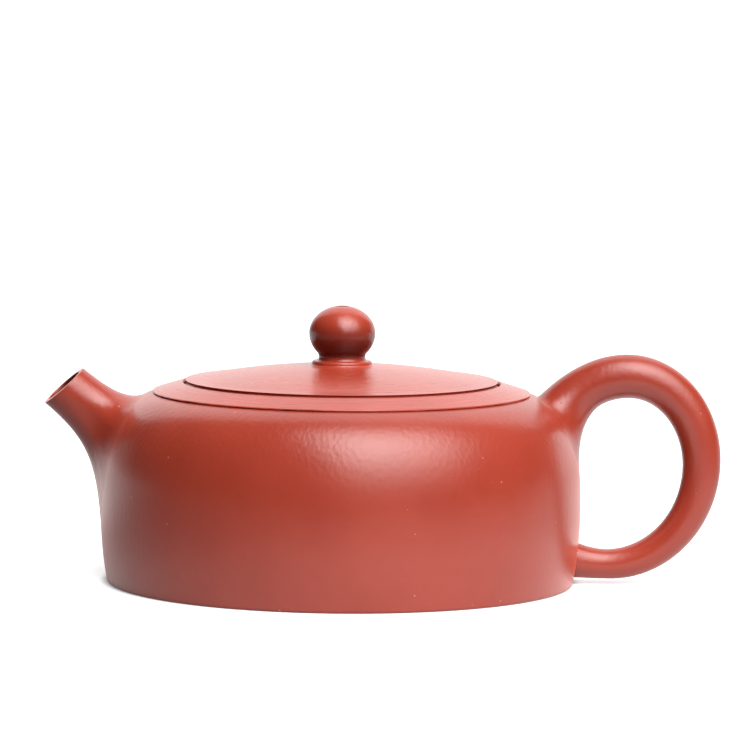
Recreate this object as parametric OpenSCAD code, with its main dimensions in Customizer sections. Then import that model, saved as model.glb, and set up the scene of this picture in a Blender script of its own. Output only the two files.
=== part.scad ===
// Low drum-shaped clay teapot, built the way a slab-built pot is: a wall band closed by a
// base disc and a top disc, a mouth ring, a straight spout over a ball strainer, a loop
// handle, and an inlaid lid with its flange and ball knob.
// Origin on the table under the pot's axis, +X to the handle, -X to the spout, +Z up.

/* [Wall] */
// Outer radius of the wall at its widest
belly_r = 50.2; // [49:0.1:52]
// Height of the widest part of the wall
belly_z = 16.5; // [14:0.5:19]
// Outer radius of the wall at the table, before its corner is rounded
foot_r = 48.7; // [47.5:0.1:49]
// Height of the shoulder's flat top, which carries the mouth ring
shoulder_z = 39.5; // [38:0.5:42]
// Squareness of the shoulder's curve; 2 is an ellipse
shoulder_power = 2.66; // [2:0.02:3]
// Radius at which that curve would level out, inside the mouth ring's edge
shoulder_level_r = 32.5; // [30:0.5:35]
// Thickness of the clay wall and of each slab
clay_t = 3; // [2.6:0.1:3.4]
// Height of the base disc's underside above the table
base_recess = 0.8; // [0.4:0.1:1.2]

/* [Mouth and lid] */
// Outer radius of the mouth ring
ring_r = 39.4; // [39.2:0.1:40]
// Inner radius of the mouth ring, around the lid plate
ring_bore_r = 33; // [32:0.5:34]
// Height of the mouth ring's inner edge above the shoulder
ring_rise = 2.55; // [2.3:0.05:3]
// Slope of the mouth ring's top, as drop per unit of radius
ring_slope = 0.317; // [0.28:0.01:0.33]
// Gap between the lid plate and the mouth ring
lid_gap = 0.35; // [0.25:0.05:0.6]
// Height of the lid plate's crown above the table
lid_top_z = 45.6; // [45:0.1:47]
// Drop of the lid plate's top from its crown to its edge
lid_drop = 3.53; // [3:0.1:4]
// Outer radius of the flange under the lid plate
flange_r = 28.9; // [27:0.1:29]
// Thickness of the lid flange
flange_t = 2.7; // [2:0.1:3.2]
// Depth of the lid flange below the lid plate
flange_depth = 8.5; // [6:0.5:10]
// Gap between the lid flange and the top disc's hole
flange_gap = 0.3; // [0.2:0.05:0.5]

/* [Knob] */
// Radius of the collar under the knob
collar_r = 6.3; // [6:0.1:7]
// Height of the collar
collar_h = 1; // [0.8:0.1:1.4]
// Radius of the knob at its widest
knob_r = 6.93; // [6.5:0.1:7.5]
// Height of the knob's widest part above the collar
knob_mid = 5.7; // [5.4:0.1:6]
// Radius of the knob's neck, where it meets the collar
neck_r = 4.9; // [4.5:0.1:5.2]
// Radius of the vent hole down through the knob and the lid
vent_r = 1.3; // [0.8:0.1:1.6]

/* [Spout] */
// Distance of the spout mouth's centre from the pot's axis
mouth_x = 58; // [57:0.5:60]
// Height of the spout mouth's centre
mouth_z = 40.5; // [39:0.5:42]
// Outer radius of the spout at its mouth
mouth_r = 5.4; // [5:0.1:6]
// Thickness of the spout at its lip
lip_t = 1.2; // [1:0.1:2]
// Slope of the plane across the spout's mouth
mouth_tilt = 42; // [36:1:48]
// Half width of the spout's foot around the wall
spout_half_w = 15; // [13:0.5:17]
// Radius of the passage where it leaves the wall
passage_r = 6; // [5:0.5:7]

/* [Ball strainer] */
// Outer radius of the perforated dome behind the spout
dome_r = 9; // [8.5:0.5:10]
// Thickness of the dome
dome_t = 1.5; // [1.2:0.1:2]
// Radius of each hole in the dome
strainer_hole_r = 0.8; // [0.5:0.1:1]

/* [Handle] */
// Distance of the handle's centreline from the pot's axis, at its furthest
handle_x = 75.4; // [73:0.2:78]
// Height of the centreline where the handle is furthest out
handle_z = 25.5; // [24:0.5:27]
// Height of the centreline at the handle's crest
crest_z = 43.7; // [42:0.5:45]
// Height of the centreline along the handle's lower arm
arm_z = 4.2; // [4:0.1:5]
// Thickness of the handle at its crest
crest_t = 9.2; // [8:0.1:10]
// Thickness of the handle at its lower root
arm_t = 6.2; // [5:0.1:6.4]

/* [Hidden] */
$fn = 96;

foot_power = 2.2;       // how quickly the wall draws in towards the foot
foot_round = 0.7;       // radius of the foot's outer corner
edge_round = 0.5;       // radius of the mouth ring's outer edge
soft = 0.3;             // radius or bevel of every small edge
base_top = base_recess + clay_t;
lid_edge_r = ring_bore_r - lid_gap;
seat_top = lid_top_z - 0.15;      // flat under the knob's collar, cut into the crown
collar_top = seat_top + collar_h;
flange_in_r = flange_r - flange_t;
stand_off = 0.05;       // joint line between the wall and the spout's or handle's root
root_rim = 0.15;        // thickness at the edge of each root's flare
spout_sides = 36;
handle_sides = 24;

// ---- The wall's outer curve ----

// Outer radius below the belly
function low_r(z) = belly_r - (belly_r - foot_r) * pow((belly_z - z) / belly_z, foot_power);

// Half width and height of the whole shoulder curve, which the flat top cuts off at the ring
shoulder_w = belly_r - shoulder_level_r;
shoulder_h = (shoulder_z - belly_z)
    / pow(1 - pow((ring_r - shoulder_level_r) / shoulder_w, shoulder_power), 1 / shoulder_power);

// Point on the shoulder's curve, `inset` inside the outer face; 0 is the belly
function shoulder(angle, inset) = [
    shoulder_level_r + (shoulder_w - inset) * pow(cos(angle), 2 / shoulder_power),
    belly_z + (shoulder_h - inset) * pow(sin(angle), 2 / shoulder_power)
];

// Angle at which that curve reaches height z
function shoulder_end(z, inset) = asin(pow((z - belly_z) / (shoulder_h - inset), shoulder_power / 2));
outer_end = shoulder_end(shoulder_z, 0);
inner_end = shoulder_end(shoulder_z - clay_t, clay_t);
shoulder_in_r = shoulder(inner_end, clay_t).x;      // where the wall's end meets the top disc

foot_corner = [for (a = [-90:22.5:0])
    [low_r(foot_round) - foot_round + foot_round * cos(a), foot_round + foot_round * sin(a)]];
low_curve = [for (i = [1:8]) let (z = foot_round + (belly_z - foot_round) * i / 8) [low_r(z), z]];
shoulder_curve = [for (i = [1:18]) shoulder(outer_end * i / 18, 0)];
outer_curve = concat(foot_corner, low_curve, shoulder_curve);

// Length along the outer curve at each of its points
last = len(outer_curve) - 1;
lengths = [for (i = 0, s = 0; i <= last;
                s = s + (i < last ? norm(outer_curve[i + 1] - outer_curve[i]) : 0), i = i + 1) s];
r_along = [for (i = [0:last]) [lengths[i], outer_curve[i].x]];
z_along = [for (i = [0:last]) [lengths[i], outer_curve[i].y]];

// Outer curve at length s, and its outward normal
function curve_at(s) = [lookup(s, r_along), lookup(s, z_along)];
function normal_at(s) =
    let (step = curve_at(s + 0.5) - curve_at(s - 0.5))
    [step.y, -step.x] / norm(step);

// Point `off` above the wall's face; `side` is 1 at the handle and -1 at the spout,
// and `w` is the distance around the wall from the plane of both
function on_wall(side, w, s, off) =
    let (p = curve_at(s) + off * normal_at(s), turn = w / belly_r * 180 / PI)
    [side * p.x * cos(turn), p.x * sin(turn), p.y];

// Ring on the wall around a root that is centred at length s. Angle 0 is towards the mouth
// ring and 180 towards the pot's foot; `reach` is how far it goes [up, down, round the wall]
function root(side, s, reach, size, angle, off) =
    on_wall(side, size * reach[2] * sin(angle),
            s + size * (cos(angle) > 0 ? reach[0] : reach[1]) * cos(angle), off);

// Direction in which a root's edge runs out onto the wall
function root_run(side, s, reach, angle) =
    let (step = root(side, s, reach, 1, angle, root_rim) - root(side, s, reach, 0.95, angle, root_rim))
    step / norm(step);

// ---- Shared shapes ----

function mix(a, b, t) = a + (b - a) * t;

// Cubic curve from a, leaving along `from`, to b, arriving along `to`
function glide(a, from, b, to, t) =
    (2 * t^3 - 3 * t^2 + 1) * a + (t^3 - 2 * t^2 + t) * from
    + (3 * t^2 - 2 * t^3) * b + (t^3 - t^2) * to;

// Skin over rings of points that all have the same count, closed into a loop or capped
module loft(rings, loop) {
    count = len(rings[0]);
    spans = loop ? len(rings) : len(rings) - 1;
    sides = [for (i = [0:spans - 1], j = [0:count - 1])
        let (a = i * count, b = ((i + 1) % len(rings)) * count, k = (j + 1) % count)
        each [[a + j, a + k, b + k], [a + j, b + k, b + j]]];
    ends = loop ? [] : [[for (j = [count - 1:-1:0]) j],
                        [for (j = [0:count - 1]) (len(rings) - 1) * count + j]];
    polyhedron([for (ring = rings) each ring], concat(sides, ends));
}

module ring(outer_r, inner_r, z, h) {
    translate([0, 0, z]) difference() {
        cylinder(r = outer_r, h = h);
        translate([0, 0, -1]) cylinder(r = inner_r, h = h + 2);
    }
}

// ---- Body ----

module base_disc() color("firebrick") {
    translate([0, 0, base_recess]) cylinder(r = seat_r, h = clay_t);
}

// The base disc sits inside a slightly thicker band at the wall's foot
seat_r = low_r(base_top) - clay_t - 0.7;
inner_curve = concat(
    [for (i = [18:-1:0]) shoulder(inner_end * i / 18, clay_t)],
    [for (i = [7:-1:0]) let (z = base_top + (belly_z - base_top) * i / 8) [low_r(z) - clay_t, z]],
    [[seat_r, base_top], [seat_r, soft], [seat_r + soft, 0]]
);

module body_wall() color("firebrick") difference() {
    rotate_extrude() polygon(concat(outer_curve, [[shoulder_in_r, shoulder_z]], inner_curve));
    along_spout() cylinder(r = passage_r, h = 6 * clay_t, center = true);
}

module top_disc() color("firebrick") {
    ring(shoulder_in_r, flange_r + flange_gap, shoulder_z - clay_t, clay_t);
}

module mouth_ring() color("indianred") {
    inner_z = shoulder_z + ring_rise;
    outer_z = inner_z - ring_slope * (ring_r - ring_bore_r);
    outer_edge = [for (a = [0:22.5:67.5])
        [ring_r - edge_round + edge_round * cos(a), outer_z - edge_round + edge_round * sin(a)]];
    top_outer = [ring_r - edge_round, outer_z + ring_slope * edge_round / 2];
    rotate_extrude() polygon(concat(
        [[ring_bore_r, shoulder_z], [ring_r, shoulder_z]],
        outer_edge,
        [top_outer, [ring_bore_r + soft, inner_z - ring_slope * soft], [ring_bore_r, inner_z - soft]]
    ));
}

// ---- Spout ----

spout_s = 30.8 + lengths[4];      // where the spout's axis meets the wall, along its curve
spout_reach = [11.2, 22.8, spout_half_w];
hole_reach = [passage_r, passage_r, passage_r];
spout_root = on_wall(-1, 0, spout_s, 0);
mouth_centre = [-mouth_x, 0, mouth_z];
mouth_up = [cos(mouth_tilt), 0, sin(mouth_tilt)];
mouth_out = [-sin(mouth_tilt), 0, cos(mouth_tilt)];

// Places its children at the spout's root with +Z along the passage, out of the pot
module along_spout() {
    run = mouth_centre - spout_root;
    translate(spout_root) rotate([0, -atan2(-run.x, run.z), 0]) children();
}

function around_mouth(angle, r, out) =
    mouth_centre + out * mouth_out + r * cos(angle) * mouth_up + [0, r * sin(angle), 0];

// Line along the outside of the spout from its mouth to the edge of its flare. Its upper side
// bends in short curves and its lower side in long ones.
function spout_line(angle, t) =
    let (down = (1 - cos(angle)) / 2, pitch = mix(36, 40, down))
    glide(around_mouth(angle, mouth_r, 0), mix(12, 37, down) * [cos(pitch), 0, -sin(pitch)],
          root(-1, spout_s, spout_reach, 1, angle, root_rim),
          mix(16, 47, down) * root_run(-1, spout_s, spout_reach, angle), t);

module spout() color("firebrick") {
    turns = [for (i = [0:spout_sides - 1]) i * 360 / spout_sides];
    lip_r = lip_t / 2;
    outside = [for (t = [1:-0.0625:0]) [for (a = turns) spout_line(a, t)]];
    lip = [for (b = [45:45:135]) [for (a = turns)
        around_mouth(a, mouth_r - lip_r + lip_r * cos(b), soft * sin(b))]];
    inside = [for (t = [0:0.2:1]) [for (a = turns)
        mix(around_mouth(a, mouth_r - lip_t, 0), root(-1, spout_s, hole_reach, 1, a, stand_off), t)]];
    seat = [for (t = [0.25:0.25:1]) [for (a = turns)
        root(-1, spout_s, mix(hole_reach, spout_reach, t), 1, a, stand_off)]];
    loft(concat(outside, lip, inside, seat), true);
}

// Perforated dome on the wall's inner face, bulging into the pot
module ball_strainer() color("firebrick") {
    difference() {
        intersection() {
            along_spout() translate([0, 0, -clay_t]) sphere(r = dome_r);
            rotate_extrude() polygon(concat(inner_curve, [[0, 0], [0, shoulder_z - clay_t]]));
        }
        along_spout() translate([0, 0, -clay_t]) {
            sphere(r = dome_r - dome_t);
            for (row = [[0, 1], [24, 6], [48, 12]]) {
                for (i = [0:row[1] - 1]) {
                    rotate([0, 180 - row[0], i * 360 / row[1]])
                        cylinder(r = strainer_hole_r, h = 2 * dome_r, $fn = 24);
                }
            }
        }
    }
}

// ---- Handle ----

upper_s = 34.5 + lengths[4];      // centre of the upper root along the wall's curve
upper_reach = [7.4, 10.5, 9];
lower_s = 4.3 + lengths[4];       // centre of the lower root
lower_reach = [3.75, 3.75, 3.7];
upper_end = 112;                  // where the loop runs into the flare of its upper root
crest_x = 59.9;                   // where the centreline is highest
shoulder_reach = 17.4;            // half width of the loop towards the wall
arm_x = 56;                       // where the lower arm straightens

// Centreline of the loop: 112 near the upper root, 90 the crest, 0 furthest out, -90 the arm
function loop_at(a) =
    a > 90 ? [crest_x + shoulder_reach * cos(a), 0, handle_z + (crest_z - handle_z) * sin(a)]
    : a > 0 ? [crest_x + (handle_x - crest_x) * cos(a), 0, handle_z + (crest_z - handle_z) * sin(a)]
    : [arm_x + (handle_x - arm_x) * cos(a), 0, handle_z + (handle_z - arm_z) * sin(a)];
function loop_t(a) = let (u = min(a, 90) / 90, mean = (crest_t + arm_t) / 2)
    mean + 0.3 + (crest_t - arm_t) / 2 * u - 0.3 * u^2;

function loop_run(a) = let (step = loop_at(a - 0.5) - loop_at(a + 0.5)) step / norm(step);

// Ring across the loop; its first point lies on the inside of the loop
function loop_ring(a, turns) =
    let (run = loop_run(a), inward = [run.z, 0, -run.x], r = loop_t(a) / 2)
    [for (b = turns) loop_at(a) + r * cos(b) * inward + [0, r * sin(b), 0]];

// Line from the edge of the upper root's flare to the loop; b is 0 inside the loop. The
// inside leaves the wall in a long curve, and the outside turns up from it at once.
function upper_line(b, to, t) =
    let (inside = (1 + cos(b)) / 2, angle = 180 - b)
    glide(root(1, upper_s, upper_reach, 1, angle, root_rim),
          -mix(2.5, 23, inside) * root_run(1, upper_s, upper_reach, angle),
          to, mix(23, 13, inside) * loop_run(upper_end), t);

module handle() color("firebrick") {
    turns = [for (i = [0:handle_sides - 1]) i * 360 / handle_sides];
    seat_sizes = [0.04, 0.2, 0.4, 0.6, 0.8, 1];
    upper_seat = [for (size = seat_sizes) [for (b = turns)
        root(1, upper_s, upper_reach, size, 180 - b, stand_off)]];
    first = loop_ring(upper_end, turns);
    upper_flare = [for (t = [0:0.125:0.875]) [for (j = [0:handle_sides - 1])
        upper_line(turns[j], first[j], t)]];
    loop_rings = [for (a = [upper_end:-6.5:-90]) loop_ring(a, turns)];
    last_ring = loop_ring(-90, turns);
    edge = [for (b = turns) root(1, lower_s, lower_reach, 1, b, stand_off)];
    lower_flare = [for (t = [0:0.25:1]) [for (j = [0:handle_sides - 1])
        let (from = last_ring[j], to = edge[j])
        [mix(from.x, to.x, t), mix(from.y, to.y, t^2), mix(from.z, to.z, t^2)]]];
    lower_seat = [for (size = [0.55, 0.05]) [for (b = turns)
        root(1, lower_s, lower_reach, size, b, stand_off)]];
    loft(concat(upper_seat, upper_flare, loop_rings, lower_flare, lower_seat), false);
}

// ---- Lid ----

// Height of the lid plate's top at radius r
function lid_z(r) = lid_top_z - lid_drop * pow(r / lid_edge_r, 1.84);

module vent(z, h) {
    translate([0, 0, z]) cylinder(r = vent_r, h = h);
}

module lid_plate() color("indianred") difference() {
    rotate_extrude() polygon(concat(
        [[0, seat_top], [collar_r, seat_top]],
        [for (i = [0:12]) let (r = mix(collar_r + 0.1, lid_edge_r - soft, i / 12)) [r, lid_z(r)]],
        [[lid_edge_r, lid_z(lid_edge_r) - soft], [lid_edge_r, shoulder_z], [flange_in_r, shoulder_z]],
        [for (i = [12:-1:0]) let (r = flange_in_r * i / 12) [r, lid_z(r) - clay_t - 0.4]]
    ));
    vent(shoulder_z - 1, lid_top_z);
}

module lid_flange() color("firebrick") {
    ring(flange_r, flange_in_r, shoulder_z - flange_depth, flange_depth);
}

module knob_collar() color("indianred") difference() {
    rotate_extrude() polygon([
        [0, seat_top], [collar_r - soft, seat_top], [collar_r, seat_top + soft],
        [collar_r, collar_top - soft], [collar_r - soft, collar_top], [0, collar_top]
    ]);
    vent(seat_top - 1, collar_h + 2);
}

module knob() color("indianred") difference() {
    mid_z = collar_top + knob_mid;
    upper_h = 5.75;
    lower_h = 6.15;
    neck_angle = -acos(neck_r / knob_r);      // where the ball runs into its neck
    rotate_extrude() polygon(concat(
        [[0, collar_top], [neck_r + soft, collar_top], [neck_r, collar_top + soft]],
        [for (i = [6:-1:1]) let (a = neck_angle * i / 6) [knob_r * cos(a), mid_z + lower_h * sin(a)]],
        [for (a = [0:7.5:90]) [knob_r * cos(a), mid_z + upper_h * sin(a)]]
    ));
    vent(collar_top - 1, 3 * knob_r);
}

base_disc();
body_wall();
top_disc();
mouth_ring();
spout();
ball_strainer();
handle();
lid_plate();
lid_flange();
knob_collar();
knob();
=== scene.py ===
"""A low drum-shaped clay teapot with an inlaid lid, on a white studio table.

Every size below is in millimetres in the pot's own frame: the origin is on the table under the
pot's axis, +X points to the handle and -X to the spout. Meshes are scaled to metres as they are made.
"""

from math import asin, atan2, copysign, cos, hypot, pi, radians, sin

import bpy
import numpy as np
from mathutils import Matrix, Vector


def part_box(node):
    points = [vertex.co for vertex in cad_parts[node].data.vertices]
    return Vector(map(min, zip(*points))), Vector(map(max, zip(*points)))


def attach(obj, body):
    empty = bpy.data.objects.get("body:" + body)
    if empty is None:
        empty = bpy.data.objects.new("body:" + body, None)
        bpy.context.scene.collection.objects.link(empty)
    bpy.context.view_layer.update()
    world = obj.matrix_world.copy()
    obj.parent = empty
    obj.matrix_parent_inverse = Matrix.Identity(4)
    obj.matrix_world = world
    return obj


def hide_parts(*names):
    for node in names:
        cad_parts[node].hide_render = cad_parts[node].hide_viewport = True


MM = 0.001

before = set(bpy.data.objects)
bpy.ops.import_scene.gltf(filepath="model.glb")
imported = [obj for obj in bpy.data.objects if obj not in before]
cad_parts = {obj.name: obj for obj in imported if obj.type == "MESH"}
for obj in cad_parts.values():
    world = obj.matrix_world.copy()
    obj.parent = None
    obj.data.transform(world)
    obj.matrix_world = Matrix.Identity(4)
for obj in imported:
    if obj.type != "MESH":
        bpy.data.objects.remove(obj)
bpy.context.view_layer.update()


def reach(node, axis):
    """Lowest and highest coordinate of a CAD node along x, y or z, in millimetres."""
    low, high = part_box(node)
    index = "xyz".index(axis)
    return low[index] / MM, high[index] / MM


# ---------------------------------------------------------------- sizes from the frame

belly_r = reach("body_wall", "y")[1]
shoulder_z = reach("body_wall", "z")[1]
base_low, base_top = reach("base_disc", "z")
base_r = reach("base_disc", "x")[1]
clay_t = base_top - base_low
shoulder_in_r = reach("top_disc", "x")[1]
ring_r = reach("mouth_ring", "x")[1]
ring_top = reach("mouth_ring", "z")[1]
lid_edge_r = reach("lid_plate", "x")[1]
lid_crown = reach("lid_plate", "z")[1]
flange_r = reach("lid_flange", "x")[1]
flange_low = reach("lid_flange", "z")[0]
collar_r = reach("knob_collar", "x")[1]
collar_low, collar_top = reach("knob_collar", "z")
knob_r = reach("knob", "x")[1]
knob_top = reach("knob", "z")[1]
handle_top = reach("handle", "z")[1]
handle_out = reach("handle", "x")[1]
handle_low = reach("handle", "z")[0]

# Sizes that a node's box doesn't show
belly_z = 16.5
foot_r = 48.7
foot_power = 2.2
foot_round = 0.7
shoulder_power = 2.66
shoulder_level_r = 32.5
ring_bore_r = 33.0
ring_slope = 0.317
ledge_r = 29.2
flange_in_r = 26.2
vent_r = 1.35
joint_h = 0.16          # height of the undercut below the mouth ring's edge
rubbed = 0.22           # width of the rubbed inner edge of the mouth ring
lid_lip = 0.3           # depth of the recess under the lid's edge
DEEP_SIDE = radians(-125)
flare_sink = -0.03      # the edge of a flare, just under the wall's face
hidden = 0.4            # how far a root goes on inside the wall
mouth_tilt = radians(42)        # slope of the spout's mouth, from its lower to its upper lip
corner_points = 9       # points on the foot's rounded corner

# ---------------------------------------------------------------- the wall's curve


def low_r(z):
    """Outer radius of the wall below its belly."""
    return belly_r - (belly_r - foot_r) * ((belly_z - z) / belly_z) ** foot_power


# Half width and height of the whole shoulder curve, which the flat top cuts off at the ring
shoulder_w = belly_r - shoulder_level_r
ring_share = ((ring_r - shoulder_level_r) / shoulder_w) ** shoulder_power
shoulder_h = (shoulder_z - belly_z) / (1 - ring_share) ** (1 / shoulder_power)


def shoulder(top, inset=0.0, count=60):
    """Points on the shoulder's superellipse from the belly up to the height `top`."""
    end = asin(((top - belly_z) / (shoulder_h - inset)) ** (shoulder_power / 2))
    a = np.linspace(0, end, count)
    r = shoulder_level_r + (shoulder_w - inset) * np.cos(a) ** (2 / shoulder_power)
    return np.column_stack([r, belly_z + (shoulder_h - inset) * np.sin(a) ** (2 / shoulder_power)])


def outer_curve():
    """The wall's outer face from the table to the mouth ring's edge, as (radius, height)."""
    turn = np.radians(np.linspace(-90, 0, corner_points))
    corner = np.column_stack([
        low_r(foot_round) - foot_round + foot_round * np.cos(turn),
        foot_round + foot_round * np.sin(turn),
    ])
    z = np.linspace(foot_round, belly_z, 40)[1:]
    return np.vstack([corner, np.column_stack([low_r(z), z]), shoulder(shoulder_z)[1:]])


def arc_length(points):
    return np.concatenate([[0], np.cumsum(np.linalg.norm(np.diff(points, axis=0), axis=1))])


fine_curve = outer_curve()
fine_length = arc_length(fine_curve)
fine_step = np.gradient(fine_curve, fine_length, axis=0)
fine_step /= np.linalg.norm(fine_step, axis=1)[:, None]
foot_length = fine_length[corner_points - 1]        # where the foot's rounded corner ends


def on_wall(side, around, along, off):
    """Point `off` above the wall's face. `along` runs up its curve from the table, and `around`
    runs round it from the plane of the spout (side -1) or the handle (side 1)."""
    r, z = (np.interp(along, fine_length, fine_curve[:, k]) for k in (0, 1))
    step_r, step_z = (np.interp(along, fine_length, fine_step[:, k]) for k in (0, 1))
    r = r + off * step_z
    z = z - off * step_r
    turn = np.asarray(around) / belly_r
    return np.stack([side * r * np.cos(turn), r * np.sin(turn), z + 0 * turn], axis=-1)


def root(side, middle, reaches, size, angle, off):
    """Ring on the wall round a root whose centre is at length `middle`. Angle 0 is towards the
    mouth ring, pi towards the foot; `reaches` is how far it goes up, down and round the wall."""
    up, down, wide = reaches
    along = middle + size * np.where(np.cos(angle) > 0, up, down) * np.cos(angle)
    return on_wall(side, size * wide * np.sin(angle), along, off)


def root_run(side, middle, reaches, angle):
    """Direction in which a root's edge runs out onto the wall."""
    step = root(side, middle, reaches, 1, angle, 0) - root(side, middle, reaches, 0.95, angle, 0)
    return step / np.linalg.norm(step, axis=1)[:, None]


# ---------------------------------------------------------------- mesh helpers


def filleted(corners):
    """A closed (radius, height) outline with each corner (r, z, fillet radius) rounded off."""
    outline = []
    count = len(corners)
    for i, (r, z, fillet) in enumerate(corners):
        here = np.array([r, z])
        to_last = np.array(corners[i - 1][:2]) - here
        to_next = np.array(corners[(i + 1) % count][:2]) - here
        to_last /= np.linalg.norm(to_last)
        to_next /= np.linalg.norm(to_next)
        half = np.arccos(np.clip(to_last @ to_next, -1, 1)) / 2
        if fillet == 0 or half > radians(85):
            outline.append(here)
            continue
        middle = (to_last + to_next) / np.linalg.norm(to_last + to_next)
        centre = here + middle * fillet / sin(half)
        start = here + to_last * fillet / np.tan(half) - centre
        end = here + to_next * fillet / np.tan(half) - centre
        sweep = pi - 2 * half
        for t in np.linspace(0, 1, 7):
            blend = (sin((1 - t) * sweep) * start + sin(t * sweep) * end) / sin(sweep)
            outline.append(centre + blend)
    return np.array(outline)


def resampled(outline, spacing):
    """The closed outline with its long stretches divided, so that smooth shading stays local."""
    points = []
    for here, there in zip(outline, np.roll(outline, -1, axis=0)):
        steps = max(1, int(np.ceil(np.linalg.norm(there - here) / spacing)))
        points += [here + (there - here) * t for t in np.arange(steps) / steps]
    return np.array(points)


def ring_faces(rings, sides, closed):
    """Quads between successive rings of `sides` points."""
    spans = rings if closed else rings - 1
    faces = []
    for i in range(spans):
        a, b = i * sides, ((i + 1) % rings) * sides
        faces += [(a + j, a + (j + 1) % sides, b + (j + 1) % sides, b + j) for j in range(sides)]
    return faces


def piece(name, points, faces, material, node, body):
    """A smooth mesh, in millimetres, that stands for a CAD node and rides on its body."""
    mesh = bpy.data.meshes.new(name)
    mesh.from_pydata((np.asarray(points).reshape(-1, 3) * MM).tolist(), [], faces)
    mesh.materials.append(material)
    mesh.shade_smooth()
    shape = bpy.data.objects.new(name, mesh)
    bpy.context.scene.collection.objects.link(shape)
    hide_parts(node)
    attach(shape, body)
    return shape


def lathe(name, outline, material, node, body, sides=256, spacing=0.8):
    """Revolves a closed (radius, height) outline that stays clear of the axis."""
    outline = resampled(outline, spacing)
    turn = np.arange(sides) * 2 * pi / sides
    r, z = outline[:, 0][:, None], outline[:, 1][:, None]
    points = np.stack([r * np.cos(turn), r * np.sin(turn), z + 0 * turn], axis=-1)
    return piece(name, points, ring_faces(len(outline), sides, True), material, node, body)


def mix(a, b, t):
    return a + (b - a) * t


def glide(a, leave, b, arrive, t):
    """Cubic curve from a, leaving along `leave`, to b, arriving along `arrive`."""
    return (
        (2 * t**3 - 3 * t**2 + 1) * a
        + (t**3 - 2 * t**2 + t) * leave
        + (3 * t**2 - 2 * t**3) * b
        + (t**3 - t**2) * arrive
    )


# ---------------------------------------------------------------- clay


class Nodes:
    """Short names for adding and joining shader nodes."""

    def __init__(self, tree):
        self.tree = tree

    def add(self, kind, inputs=(), **settings):
        node = self.tree.nodes.new(kind)
        for key, value in settings.items():
            setattr(node, key, value)
        for key, value in dict(inputs).items():
            if isinstance(value, bpy.types.NodeSocket):
                self.tree.links.new(value, node.inputs[key])
            else:
                node.inputs[key].default_value = value
        return node

    def math(self, operation, a, b=0.0):
        return self.add("ShaderNodeMath", {0: a, 1: b}, operation=operation).outputs[0]

    def vector(self, operation, a, b):
        return self.add("ShaderNodeVectorMath", {0: a, 1: b}, operation=operation).outputs[0]

    def noise(self, vector, scale, detail=2.0, roughness=0.5):
        wanted = {"Vector": vector, "Scale": scale, "Detail": detail, "Roughness": roughness}
        return self.add("ShaderNodeTexNoise", wanted).outputs["Fac"]

    def remap(self, value, low, high, to_low=0.0, to_high=1.0):
        wanted = {"Value": value, "From Min": low, "From Max": high, "To Min": to_low, "To Max": to_high}
        return self.add("ShaderNodeMapRange", wanted).outputs["Result"]

    def fade(self, value, dark, full):
        """0 at `dark` and 1 at `full`, with a smooth run between them."""
        wanted = {"Value": value, "From Min": dark, "From Max": full}
        return self.add("ShaderNodeMapRange", wanted, interpolation_type="SMOOTHSTEP").outputs["Result"]

    def mix(self, factor, a, b):
        node = self.add("ShaderNodeMix", data_type="RGBA")
        for socket, value in ((node.inputs[0], factor), (node.inputs[6], a), (node.inputs[7], b)):
            if isinstance(value, bpy.types.NodeSocket):
                self.tree.links.new(value, socket)
            else:
                socket.default_value = value
        return node.outputs[2]


# Colours, the last one for the sheen
CLAY = (0.297, 0.0355, 0.0185, 1)
CLAY_LIGHT = (0.317, 0.041, 0.0225, 1)
CLAY_DARK = (0.277, 0.031, 0.016, 1)
SAND = (0.80, 0.42, 0.30, 1)
IRON = (0.08, 0.018, 0.012, 1)
EDGE_RED = (1, 0.22, 0.15, 1)

# Scales of the noises and the specks, in features to a metre
CLOUDS_SCALE = 55
WAVER_SCALE = 95
SPECK_SCALE = 520.0
STROKE_SCALE = 1050
MOTTLE_SCALE = 1400
GRAIN_SCALE = 2600

# A speck is sand or iron where its random number is above these
SAND_ABOVE = 0.93
IRON_ABOVE = 0.985

# A speck's edge, from nothing to full, as a share of its cell's size
SPECK_EDGE = (0.12, 0.05)

# How much of their own colour the mottle, the sand and the iron bring
MOTTLE_SHARE = 0.5
SAND_SHARE = 0.5
IRON_SHARE = 0.6

# Scales of the burnish's coordinates: up the wall, round the lid and across the lid. Under 1 they
# draw the strokes out, and above 1 they make them narrower.
UP_WALL = 0.62
ROUND_LID = 0.12
ACROSS_LID = 2.5

# Depths of the relief
WAVER = 0.05 * MM
STROKE = 0.07 * MM
GRAIN = 0.004 * MM
PIT = 0.06 * MM

# Shares of the strokes' depth on the straight wall, on its shoulder and on the plain pieces
STRAIGHT_SHARE = 0.35
SHOULDER_SHARE = 0.85
PLAIN_SHARE = 0.6

# The strokes deepen between these heights on the wall
STRAIGHT_TOP = 24 * MM
SHOULDER_FULL = 34 * MM

# Roughness of a burnished stroke and of the clay beside it
EVEN_GLOSS = (0.282, 0.286)
LID_GLOSS = (0.272, 0.294)
KNOB_GLOSS = (0.25, 0.262)

# The sheen of the wall and the spout
EDGE_GLOW = 0.3
EDGE_ROUGHNESS = 0.35

# Painted shade on the knob: its tone at its neck and its crown, how far each is below its top, and the
# painted light its foot adds between two heights above the collar
NECK_TONE = 0.27
CROWN_TONE = 1.17
NECK_DROP = 9.3
CROWN_DROP = 1.0
FOOT_TONE = 0.8
FOOT_RUN = (1.4, 0.1)

# Painted shade in the spout's passage: its tone where shaded and where lit, and where the shade starts and
# is full, along the mouth's slope
SHADED_PASSAGE_TONE = 0.16
LIT_PASSAGE_TONE = 0.85
PASSAGE_SHADE_RUN = (-19.5 * MM, -14.5 * MM)


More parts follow.
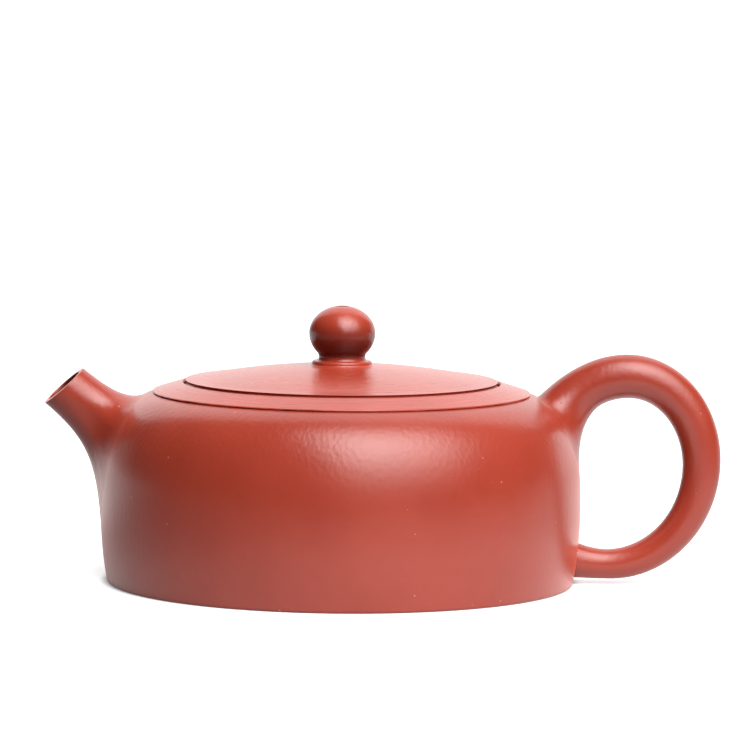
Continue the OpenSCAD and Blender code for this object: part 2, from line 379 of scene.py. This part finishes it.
def burnish_domain(n, place, grain):
    """Coordinates in which the burnish is even: drawn out a little up the wall, or round the lid."""
    flat = n.vector("MULTIPLY", place, (1, 1, 0))
    r = n.add("ShaderNodeVectorMath", {0: flat}, operation="LENGTH").outputs["Value"]
    if grain == "upright":
        turned = {0: flat, "Scale": n.math("DIVIDE", belly_r * MM, r)}
        around = n.add("ShaderNodeVectorMath", turned, operation="SCALE").outputs[0]
        z = n.add("ShaderNodeSeparateXYZ", {0: place}).outputs[2]
        climb = n.math("MULTIPLY", n.math("SUBTRACT", z, r), UP_WALL)
        return n.vector("ADD", around, n.add("ShaderNodeCombineXYZ", {"Z": climb}).outputs[0])
    if grain == "turned":
        across = n.add("ShaderNodeCombineXYZ", {"Z": n.math("MULTIPLY", r, ACROSS_LID)}).outputs[0]
        return n.vector("ADD", n.vector("MULTIPLY", flat, (ROUND_LID, ROUND_LID, 0)), across)
    return place


def knob_painted_shade(n, place):
    """Painted shade on the knob: it darkens from its top down to its neck, and painted light makes it
    lighter again at its foot. This follows the photo's brightness, whose cause isn't known."""
    z = n.add("ShaderNodeSeparateXYZ", {0: place}).outputs[2]
    crownward = n.fade(z, (knob_top - NECK_DROP) * MM, (knob_top - CROWN_DROP) * MM)
    footward = n.fade(z, *((collar_top + rise) * MM for rise in FOOT_RUN))
    tone = n.remap(crownward, 0, 1, NECK_TONE, CROWN_TONE)
    return n.math("ADD", tone, n.math("MULTIPLY", footward, FOOT_TONE))


def passage_painted_shade(n, place):
    """Painted shade darkens the passage, least along its lower side, where light falls in."""
    slope = {0: place, 1: (cos(mouth_tilt), 0, sin(mouth_tilt))}
    along = n.add("ShaderNodeVectorMath", slope, operation="DOT_PRODUCT").outputs["Value"]
    return n.remap(n.fade(along, *PASSAGE_SHADE_RUN), 0, 1, LIT_PASSAGE_TONE, SHADED_PASSAGE_TONE)


def clay(name, grain, tone=1.0, gloss=EVEN_GLOSS, edge_glow=0.0):
    """Burnished unglazed clay. `grain` says how the burnish runs: upright, turned or plain. `tone`
    darkens or lightens it: a number, or a function that gives a socket. `gloss` is the roughness
    of a stroke and of the clay beside it, and `edge_glow` is the weight of a red sheen, which
    keeps edges seen at a low angle from turning grey."""
    material = bpy.data.materials.new(name)
    material.use_nodes = True
    n = Nodes(material.node_tree)
    shader = material.node_tree.nodes["Principled BSDF"]
    place = n.add("ShaderNodeTexCoord").outputs["Object"]
    strokes = burnish_domain(n, place, grain)

    # Colour: broad firing clouds, a fine mottle, then sand and iron specks
    clouds = n.noise(place, CLOUDS_SCALE, 3)
    mottle = n.noise(place, MOTTLE_SCALE, 2)
    colour = n.mix(n.remap(clouds, 0.35, 0.65), CLAY_DARK, CLAY_LIGHT)
    colour = n.mix(n.remap(mottle, 0.3, 0.7, 0.0, MOTTLE_SHARE), colour, CLAY)
    specks = n.add("ShaderNodeTexVoronoi", {"Vector": place, "Scale": SPECK_SCALE})
    pick = n.add("ShaderNodeSeparateColor", {0: specks.outputs["Color"]}).outputs
    dot = n.remap(specks.outputs["Distance"], *SPECK_EDGE)
    sand = n.math("MULTIPLY", dot, n.math("GREATER_THAN", pick[0], SAND_ABOVE))
    iron = n.math("MULTIPLY", dot, n.math("GREATER_THAN", pick[1], IRON_ABOVE))
    colour = n.mix(n.math("MULTIPLY", sand, SAND_SHARE), colour, SAND)
    colour = n.mix(n.math("MULTIPLY", iron, IRON_SHARE), colour, IRON)
    colour = n.vector("MULTIPLY", colour, tone(n, place) if callable(tone) else (tone, tone, tone))
    n.tree.links.new(colour, shader.inputs["Base Color"])

    # Gloss: burnished strokes are a little smoother than the clay between them
    burnish = n.noise(strokes, STROKE_SCALE, 1, 0.35)
    rough = n.remap(burnish, 0.3, 0.7, *gloss)
    n.tree.links.new(rough, shader.inputs["Roughness"])
    shader.inputs["IOR"].default_value = 1.5
    shader.inputs["Sheen Weight"].default_value = edge_glow
    shader.inputs["Sheen Roughness"].default_value = EDGE_ROUGHNESS
    shader.inputs["Sheen Tint"].default_value = EDGE_RED

    # Relief in metres: the hand's slow waver, the strokes, a fine grain, and pits at the iron. The
    # strokes are shallow on the straight side of the wall and deeper on its shoulder.
    height = n.math("MULTIPLY", n.noise(place, WAVER_SCALE, 1), WAVER)
    depth = STROKE if grain == "turned" else PLAIN_SHARE * STROKE
    if grain == "upright":
        z = n.add("ShaderNodeSeparateXYZ", {0: place}).outputs[2]
        shoulderward = n.fade(z, STRAIGHT_TOP, SHOULDER_FULL)
        depth = n.remap(shoulderward, 0, 1, STRAIGHT_SHARE * STROKE, SHOULDER_SHARE * STROKE)
    height = n.math("ADD", height, n.math("MULTIPLY", burnish, depth))
    height = n.math("ADD", height, n.math("MULTIPLY", n.noise(place, GRAIN_SCALE, 1), GRAIN))
    height = n.math("SUBTRACT", height, n.math("MULTIPLY", iron, PIT))
    bump = n.add("ShaderNodeBump", {"Height": height, "Strength": 1.0, "Distance": 1.0})
    n.tree.links.new(bump.outputs[0], shader.inputs["Normal"])
    return material


wall_clay = clay("clay_burnished_upright", "upright", edge_glow=EDGE_GLOW)
lid_clay = clay("clay_turned", "turned", 1.25, LID_GLOSS)
spout_clay = clay("clay_spout", "plain", edge_glow=EDGE_GLOW)
plain_clay = clay("clay_plain", "plain")
# Painted shade: clay darkened for the inside of the knob's vent
vent_shaded_clay = clay("clay_vent_painted_shade", "plain", 0.25)
# The passage's clay carries painted shade, dark deeper in and lighter along its lower side
passage_clay = clay("clay_passage", "plain", passage_painted_shade)
# The knob's clay carries painted shade, darker towards its neck and lighter at its crown and foot
knob_clay = clay("clay_knob", "plain", knob_painted_shade, KNOB_GLOSS)

# ---------------------------------------------------------------- body


def cut_passage(shape):
    """Cuts the spout's passage through the wall."""
    run = mouth_centre - spout_root
    bpy.ops.mesh.primitive_cylinder_add(
        vertices=96, radius=passage_r * MM, depth=6 * clay_t * MM, location=Vector(spout_root) * MM
    )
    drill = bpy.context.object
    drill.rotation_euler = Vector(run).to_track_quat("Z", "Y").to_euler()
    cutter = shape.modifiers.new("passage", "BOOLEAN")
    cutter.operation = "DIFFERENCE"
    cutter.object = drill
    bpy.context.view_layer.objects.active = shape
    bpy.ops.object.modifier_apply(modifier=cutter.name)
    bpy.data.objects.remove(drill)


def wall():
    """The band that forms the side and curves over into the shoulder."""
    inner_low = np.linspace(belly_z, base_top, 24)[1:]
    inner = np.vstack([
        shoulder(shoulder_z - clay_t, clay_t)[::-1],
        np.column_stack([low_r(inner_low) - clay_t, inner_low]),
    ])
    foot = np.array([[base_r, base_top], [base_r, 0.4], [base_r + 0.1, 0.12], [base_r + 0.4, 0]])
    outline = np.vstack([outer_curve(), [[shoulder_in_r, shoulder_z]], inner, foot])
    shape = lathe("wall", outline, wall_clay, "body_wall", "pot", sides=320, spacing=0.6)
    cut_passage(shape)


def base():
    """The disc that closes the bottom."""
    axis_r = 0.01
    outline = filleted([
        (axis_r, base_low, 0), (base_r, base_low, 0.25),
        (base_r, base_top, 0), (axis_r, base_top, 0),
    ])
    lathe("base", outline, plain_clay, "base_disc", "pot")


def ledge():
    """The slab that closes the wall's top and carries the lid."""
    low = shoulder_z - clay_t
    outline = filleted([
        (ledge_r, low, 0.5), (shoulder_in_r, low, 0),
        (shoulder_in_r, shoulder_z, 0), (ledge_r, shoulder_z, 0.4),
    ])
    lathe("ledge", outline, plain_clay, "top_disc", "pot")


def mouth_ring():
    """The sloping ring round the lid. Its outer edge is undercut, which leaves a fine dark joint,
    and its inner edge is rubbed down. Both are deeper on the front left."""
    outer_z = ring_top - ring_slope * (ring_r - ring_bore_r)
    outline = filleted([
        (ring_bore_r, shoulder_z, 0),
        (ring_r - 0.35, shoulder_z, 0),
        (ring_r - 0.3, shoulder_z + joint_h / 2, 0.04),
        (ring_r, shoulder_z + joint_h, 0.05),
        (ring_r, outer_z, 0.16),
        (ring_bore_r + rubbed, ring_top - ring_slope * rubbed, 0.05),
        (ring_bore_r, ring_top - 2.2 * rubbed, 0.1),
    ])
    shape = lathe("mouth_ring", outline, lid_clay, "mouth_ring", "pot", sides=480, spacing=0.4)
    for vertex in shape.data.vertices:
        x, y, z = vertex.co / MM
        r = hypot(x, y)
        lift = z - shoulder_z
        turn = atan2(y, x)
        front_left = (1 + cos(turn - DEEP_SIDE)) / 2
        if r > ring_r - 0.32 and 0 < lift < 2 * joint_h:
            rough = sin(7 * turn + 1) + sin(17 * turn) + sin(41 * turn + 2)
            vertex.co.z = (shoulder_z + lift * (0.5 + 0.8 * front_left**2 + 0.12 * rough)) * MM
        elif r < ring_bore_r + 2 and lift > 1:
            near = (ring_bore_r + 2 - r) / 2
            vertex.co.z -= 0.14 * front_left * near * MM


# ---------------------------------------------------------------- spout

mouth_centre = np.array([-57.97, 0, 40.5])
mouth_lean = radians(3.4)       # the mouth is cut a little lower on the near side
mouth_r = 5.4
lip_t = 1.2
lip_h = 0.1
spout_pitch = (36, 40)          # the next three are for its top and its underside
spout_leave = (12, 37)
spout_arrive = (16, 47)
passage_r = 6.0
spout_s = 30.8 + foot_length
spout_reach = (11.2, 22.8, 15.0)
hole_reach = (passage_r, passage_r, passage_r)
spout_root = on_wall(-1, 0, np.array(spout_s), 0)
mouth_up = np.array([cos(mouth_tilt), 0, sin(mouth_tilt)])
upright_out = np.array([-sin(mouth_tilt), 0, cos(mouth_tilt)])
mouth_out = np.array([0, -sin(mouth_lean), 0]) + cos(mouth_lean) * upright_out
mouth_side = np.array([0, cos(mouth_lean), 0]) + sin(mouth_lean) * upright_out


def around_mouth(angle, r, out):
    across = r * np.cos(angle)[:, None] * mouth_up + r * np.sin(angle)[:, None] * mouth_side
    return mouth_centre + out * mouth_out + across


def spout():
    """A short cone that flares into the wall: in a short curve above, in a long one below."""
    sides = 144
    angle = np.arange(sides) * 2 * pi / sides
    down = ((1 - np.cos(angle)) / 2)[:, None]
    pitch = np.radians(mix(*spout_pitch, down))
    leave = mix(*spout_leave, down) * np.hstack([np.cos(pitch), 0 * pitch, -np.sin(pitch)])
    edge = root(-1, spout_s, spout_reach, 1, angle, flare_sink)
    arrive = mix(*spout_arrive, down) * root_run(-1, spout_s, spout_reach, angle)
    mouth = around_mouth(angle, mouth_r, 0)
    rings = [glide(mouth, leave, edge, arrive, t) for t in np.linspace(1, 0, 90)]
    lip_r = lip_t / 2
    for b in np.radians(np.linspace(0, 180, 17))[1:-1]:
        across = copysign(abs(cos(b)) ** 0.6, cos(b))
        rings.append(around_mouth(angle, mouth_r - lip_r + lip_r * across, lip_h * sin(b) ** 0.6))
    rings_outside = len(rings)
    inner_start = around_mouth(angle, mouth_r - lip_t, 0)
    inner_end = root(-1, spout_s, hole_reach, 1, angle, -hidden)
    rings += [mix(inner_start, inner_end, t) for t in np.linspace(0, 1, 24)]
    for t in np.linspace(0.2, 0.9, 5):
        reaches = [mix(hole, flare, t) for hole, flare in zip(hole_reach, spout_reach)]
        rings.append(root(-1, spout_s, reaches, 1, angle, -hidden))
    shape = piece("spout", np.array(rings), ring_faces(len(rings), sides, True), spout_clay, "spout", "pot")
    first_inside = rings_outside * sides
    # The inside of the passage gets the clay with painted shade
    shape.data.materials.append(passage_clay)
    for face in shape.data.polygons[first_inside:]:
        face.material_index = 1


# ---------------------------------------------------------------- handle

crest_t = 9.2
arm_t = 6.2
crest_x = 59.9
loop_z = 25.5
shoulder_reach = 17.4
arm_x = 56.0
arm_z = handle_low + arm_t / 2
crest_z = handle_top - crest_t / 2
outer_x = handle_out - 4.02
upper_s = 34.5 + foot_length
upper_reach = (7.6, 12.0, 11.5)
upper_end = 112
upper_leave = (2.5, 23)         # the next two are for the outside and the inside of the loop
upper_arrive = (23, 13)
upper_side = 5
lower_s = 4.3 + foot_length
lower_reach = (3.75, 3.75, 3.7)


def loop_at(a):
    """Centreline: 112 degrees near the upper root, 90 the crest, 0 furthest out, -90 the arm."""
    a = radians(a)
    if a > pi / 2:
        return np.array([crest_x + shoulder_reach * cos(a), 0, loop_z + (crest_z - loop_z) * sin(a)])
    if a > 0:
        return np.array([crest_x + (outer_x - crest_x) * cos(a), 0, loop_z + (crest_z - loop_z) * sin(a)])
    return np.array([arm_x + (outer_x - arm_x) * cos(a), 0, loop_z + (loop_z - arm_z) * sin(a)])


def loop_t(a):
    """Thickness of the loop: the arm's below, swelling to the crest's."""
    u = min(a, 90) / 90
    return (crest_t + arm_t) / 2 + 0.3 + (crest_t - arm_t) / 2 * u - 0.3 * u**2


def loop_run(a):
    """Direction of the centreline, from the upper root to the arm."""
    step = loop_at(a - 0.5) - loop_at(a + 0.5)
    return step / np.linalg.norm(step)


def loop_ring(a, turns):
    """Ring across the loop; its first point lies on the inside of the loop."""
    run = loop_run(a)
    r = loop_t(a) / 2
    inward = np.array([run[2], 0, -run[0]])
    sideways = np.stack([0 * turns, r * np.sin(turns), 0 * turns], axis=-1)
    return loop_at(a) + r * np.cos(turns)[:, None] * inward + sideways


def handle():
    """A round loop that flares into the shoulder above and butts against the wall below."""
    sides = 96
    turns = np.arange(sides) * 2 * pi / sides
    inside = ((1 + np.cos(turns)) / 2)[:, None]
    first = loop_ring(upper_end, turns)
    edge = root(1, upper_s, upper_reach, 1, pi - turns, flare_sink)
    leave = mix(*upper_leave, inside) + upper_side * np.sin(turns)[:, None] ** 2
    leave = -leave * root_run(1, upper_s, upper_reach, pi - turns)
    arrive = mix(*upper_arrive, inside) * loop_run(upper_end)
    rings = [root(1, upper_s, upper_reach, size, pi - turns, -hidden) for size in (0.02, 0.4, 0.8)]
    rings += [glide(edge, leave, first, arrive, t) for t in np.linspace(0, 1, 40)[:-1]]
    rings += [loop_ring(a, turns) for a in np.linspace(upper_end, -90, 130)]
    last = rings[-1]
    foot = root(1, lower_s, lower_reach, 1, turns, -hidden)
    for t in np.linspace(0, 1, 20)[1:]:
        x = mix(last[:, 0], foot[:, 0], t)
        y, z = (mix(last[:, k], foot[:, k], t**2) for k in (1, 2))
        rings.append(np.column_stack([x, y, z]))
    rings.append(root(1, lower_s, lower_reach, 0.05, turns, -hidden))
    faces = ring_faces(len(rings), sides, False)
    faces.append(tuple(range(sides))[::-1])
    faces.append(tuple((len(rings) - 1) * sides + j for j in range(sides)))
    piece("handle", np.array(rings), faces, plain_clay, "handle", "pot")


# ---------------------------------------------------------------- lid

lid_drop = 3.53
lid_power = 1.84
crown_over_seat = 0.15
edge_rise = 0.2
collar_fillet = 0.45


def lid_z(r):
    """Height of the lid's top at radius r."""
    return lid_crown + crown_over_seat - lid_drop * (r / lid_edge_r) ** lid_power


def lid_plate():
    """The inlaid plate. Its sharp edge overhangs a recess, which makes a dark line round it, and
    its top turns up in a small fillet at the knob's collar."""
    fillet_r = collar_r + collar_fillet
    top = [
        (r, lid_z(r) + edge_rise * max(0, (r / lid_edge_r - 0.9) / 0.1) ** 2, 0)
        for r in np.linspace(lid_edge_r - 0.12, fillet_r, 80)
    ]
    fillet = [
        (fillet_r - collar_fillet * sin(a), lid_z(fillet_r) + collar_fillet * (1 - cos(a)), 0)
        for a in np.radians(np.linspace(0, 80, 9))[1:]
    ]
    under = [(r, lid_z(r) - clay_t - 0.4, 0) for r in np.linspace(vent_r, flange_in_r, 40)]
    rim_z = lid_z(lid_edge_r) + edge_rise
    outline = filleted(
        [
            (lid_edge_r - 0.05, shoulder_z, 0.2),
            (lid_edge_r - 0.05, rim_z - 1.0, 0.1),
            (lid_edge_r - lid_lip, rim_z - 0.75, 0),
            (lid_edge_r - lid_lip, rim_z - 0.16, 0),
            (lid_edge_r - 0.02, rim_z - 0.1, 0.03),
            (lid_edge_r - 0.02, rim_z - 0.01, 0.04),
        ]
        + top
        + fillet
        + [(vent_r, collar_low + 0.4, 0)]
        + under
        + [(flange_in_r, shoulder_z, 0)]
    )
    lathe("lid_plate", outline, lid_clay, "lid_plate", "lid", sides=360, spacing=0.5)


def lid_flange():
    """The ring under the lid that drops into the mouth."""
    outline = filleted([
        (flange_in_r, flange_low, 0.6), (flange_r, flange_low, 0.6),
        (flange_r, shoulder_z, 0), (flange_in_r, shoulder_z, 0),
    ])
    lathe("lid_flange", outline, lid_clay, "lid_flange", "lid_rim")


def knob_collar():
    """A thin bead between the lid and the knob."""
    half = (collar_top - collar_low) / 2
    bead = [
        (collar_r - half + half * cos(a), collar_low + half + half * sin(a), 0)
        for a in np.radians(np.linspace(-60, 90, 19))
    ]
    outline = filleted([(vent_r, collar_low + 0.05, 0)] + bead + [(vent_r, collar_top, 0)])
    lathe("knob_collar", outline, lid_clay, "knob_collar", "lid", sides=160, spacing=0.3)


def knob():
    """A slightly flattened ball that narrows to a neck and flares again onto the collar."""
    mid_z = collar_top + 5.7
    upper_h = 5.75
    lower_h = 6.15
    neck = radians(-42)
    neck_at = np.array([knob_r * cos(neck), mid_z + lower_h * sin(neck)])
    neck_foot = np.array([5.4, collar_top - 0.1])
    neck_leave = np.array([-1.8, 0.6])
    neck_arrive = np.array([1.3, 1.6])
    flare = [
        glide(neck_foot, neck_leave, neck_at, neck_arrive, t)
        for t in np.linspace(0, 1, 16)[:-1]
    ]
    ball = [(knob_r * cos(a), mid_z + lower_h * sin(a)) for a in np.linspace(neck, 0, 28)[:-1]]
    rim = np.arccos((vent_r + 0.05) / knob_r)
    crown = [(knob_r * cos(a), mid_z + upper_h * sin(a)) for a in np.linspace(0, rim, 40)]
    top_z = crown[-1][1]
    lip = [(vent_r + 0.02, top_z), (vent_r, top_z - 0.03), (vent_r, top_z - 0.1)]
    outline = np.vstack([[(vent_r, collar_top - 0.1)], flare, ball, crown, lip])
    shape = lathe("knob", outline, knob_clay, "knob", "lid", sides=160, spacing=0.4)
    # The vent's inside gets the clay darkened as painted shade
    shape.data.materials.append(vent_shaded_clay)
    for face in shape.data.polygons:
        if hypot(face.center.x, face.center.y) < (vent_r + 0.015) * MM:
            face.material_index = 1


wall()
base()
ledge()
mouth_ring()
spout()
handle()
lid_plate()
lid_flange()
knob_collar()
knob()

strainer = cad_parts["ball_strainer"]
strainer.data.materials.clear()
strainer.data.materials.append(plain_clay)

# ---------------------------------------------------------------- table, light and camera

KEY = 11.6
KEY_AZIMUTH = radians(22.8)
KEY_ELEVATION = radians(42)

# Each fade of the key light, from dark to full, in tangents of the angle from its centre. The low
# and the high one overlap, so that it is never quite full.
KEY_LEFT = (-0.55, -0.12)
KEY_RIGHT = (1.15, -0.12)
KEY_LOW = (-0.85, 0.39)
KEY_HIGH = (1.5, -0.03)

# The white behind the pot, whose edge is drawn in more on the left. A wing goes on below it,
# towards the sides, and is weaker on the left.
BACKDROP = 1.5
BACKDROP_EDGE = (0.74, 0.78)
DRAWN_IN = (-0.5, -0.25)
RISE = 0.52
WING_SIDE = (0.45, 0.66)
WING_HEIGHT = (0.38, 0.08)
WING_SHARE = (0.22, 1)
LEFT_TO_RIGHT = (-0.4, 0.4)

# The paper: what the camera sees, what lights the pot, and what the pot mirrors
PAPER_SHOWN = 0.66
PAPER_GLOW = 0.6
PAPER_FELT = (0.66, 0.10)
PAPER_CENTRE = (0.07, -0.05, 0)
FELT_REACH = (0.05, 0.2)
PAPER_MIRRORED = (0.04, 0.45)
MIRRORED_REACH = (0.36, 0.1)
PAPER_BEHIND = 0.4
BEHIND_REACH = (0.0, 0.15)
FOOT_SHADE = 0.4
FOOT_SHADE_WIDTH = 2


def floor():
    """White paper on the table. It answers each kind of ray in its own way: it glows to the camera,
    as an overexposed sweep does, throws less light on the pot than it shows, and has a brightness
    of its own in the pot's reflections. It is darker close round the foot, a painted contact shadow."""
    mesh = bpy.data.meshes.new("floor")
    half = 6
    corners = [(-half, -half, 0), (half, -half, 0), (half, half, 0), (-half, half, 0)]
    mesh.from_pydata(corners, [], [(0, 1, 2, 3)])
    material = bpy.data.materials.new("floor_paper")
    material.use_nodes = True
    n = Nodes(material.node_tree)
    ray = n.add("ShaderNodeLightPath").outputs
    shader = material.node_tree.nodes["Principled BSDF"]
    place = n.add("ShaderNodeTexCoord").outputs["Object"]
    off = n.vector("SUBTRACT", place, PAPER_CENTRE)
    r = n.add("ShaderNodeVectorMath", {0: off}, operation="LENGTH").outputs["Value"]
    y = n.add("ShaderNodeSeparateXYZ", {0: place}).outputs[1]
    behind = n.math("MULTIPLY", n.fade(y, *BEHIND_REACH), PAPER_BEHIND)
    felt = n.math("MAXIMUM", n.remap(n.fade(r, *FELT_REACH), 0, 1, *PAPER_FELT), behind)
    white = n.mix(ray["Is Camera Ray"], felt, (PAPER_SHOWN, PAPER_SHOWN, PAPER_SHOWN, 1))
    n.tree.links.new(white, shader.inputs["Base Color"])
    from_pot = n.add("ShaderNodeVectorMath", {0: place}, operation="LENGTH").outputs["Value"]
    mirrored = n.remap(n.fade(from_pot, *MIRRORED_REACH), 0, 1, *PAPER_MIRRORED)
    mirrored = n.math("MULTIPLY", ray["Is Glossy Ray"], n.math("ADD", mirrored, behind))
    seen = n.math("MULTIPLY", ray["Is Camera Ray"], PAPER_GLOW)
    # Painted contact shadow: the glow dims close round the foot
    clear = n.fade(from_pot, foot_r * MM, (foot_r + FOOT_SHADE_WIDTH) * MM)
    clear_of_foot = n.remap(clear, 0, 1, FOOT_SHADE, 1)
    glow = n.math("MULTIPLY", n.math("ADD", seen, mirrored), clear_of_foot)
    n.tree.links.new(glow, shader.inputs["Emission Strength"])
    shader.inputs["Emission Color"].default_value = (1, 1, 1, 1)
    shader.inputs["Roughness"].default_value = 1
    shader.inputs["Specular IOR Level"].default_value = 0
    mesh.materials.append(material)
    plane = bpy.data.objects.new("floor", mesh)
    bpy.context.scene.collection.objects.link(plane)


def softbox(n, direction):
    """Brightness of the key light in a direction. It is brightest a little left of its centre, and
    fades out on all sides, quickest on the left."""
    level = cos(KEY_ELEVATION)
    centre = Vector((sin(KEY_AZIMUTH) * level, -cos(KEY_AZIMUTH) * level, sin(KEY_ELEVATION)))
    right = Vector((0, 0, 1)).cross(centre).normalized()
    up = centre.cross(right)

    def dot(axis):
        wanted = {0: direction, 1: tuple(axis)}
        return n.add("ShaderNodeVectorMath", wanted, operation="DOT_PRODUCT").outputs["Value"]

    ahead = n.math("MAXIMUM", dot(centre), 0.05)
    across = n.math("DIVIDE", dot(right), ahead)
    above = n.math("DIVIDE", dot(up), ahead)
    light = n.math("MULTIPLY", n.math("GREATER_THAN", ahead, 0.051), KEY)
    for place, edge in ((across, KEY_LEFT), (across, KEY_RIGHT), (above, KEY_LOW), (above, KEY_HIGH)):
        light = n.math("MULTIPLY", light, n.fade(place, *edge))
    return light


def studio_world():
    """The key light at the front right, white behind and overhead with a wing low at each side,
    and a dark room. The camera itself sees plain white all round."""
    world = bpy.data.worlds.new("studio")
    bpy.context.scene.world = world
    world.use_nodes = True
    n = Nodes(world.node_tree)
    n.tree.nodes.clear()
    direction = n.add("ShaderNodeTexCoord").outputs["Generated"]
    split = n.add("ShaderNodeSeparateXYZ", {0: direction}).outputs
    height = n.math("MAXIMUM", split[2], 0.0)
    rightward = n.fade(split[0], *LEFT_TO_RIGHT)
    drawn_in = n.remap(rightward, 0, 1, *DRAWN_IN)
    aside = n.math("MULTIPLY", n.math("MULTIPLY", split[0], split[0]), drawn_in)
    nearness = n.math("ADD", n.math("ADD", split[1], aside), n.math("MULTIPLY", height, RISE))
    behind = n.fade(nearness, *BACKDROP_EDGE)
    wing = n.math("MULTIPLY", n.fade(split[1], *WING_SIDE), n.fade(height, *WING_HEIGHT))
    wing = n.math("MULTIPLY", wing, n.remap(rightward, 0, 1, *WING_SHARE))
    behind = n.math("MAXIMUM", behind, wing)
    light = n.math("ADD", softbox(n, direction), n.math("MULTIPLY", behind, BACKDROP))
    ray = n.add("ShaderNodeLightPath").outputs
    light = n.math("MAXIMUM", light, ray["Is Camera Ray"])
    background = n.add("ShaderNodeBackground", {"Color": light})
    output = n.add("ShaderNodeOutputWorld")
    n.tree.links.new(background.outputs[0], output.inputs[0])


def camera():
    """A long lens about a metre away, a little over 5 degrees above the table, slightly rolled."""
    distance, tilt, roll = 1.0, radians(5.38), radians(0.61)
    aim = Vector((6.92, 0, 43.39)) * MM
    back = Vector((0, -cos(tilt), sin(tilt)))
    right = (-back).cross(Vector((0, 0, 1))).normalized()
    up = right.cross(-back)
    rolled_right = cos(roll) * right + sin(roll) * up
    rolled_up = -sin(roll) * right + cos(roll) * up
    data = bpy.data.cameras.new("camera")
    data.sensor_width = 36
    data.lens = 229.9
    shot = bpy.data.objects.new("camera", data)
    axes = Matrix((rolled_right, rolled_up, back)).transposed().to_4x4()
    axes.translation = aim + back * distance
    shot.matrix_world = axes
    bpy.context.scene.collection.objects.link(shot)
    bpy.context.scene.camera = shot


floor()
studio_world()
camera()
bpy.context.scene.view_settings.view_transform = "Standard"
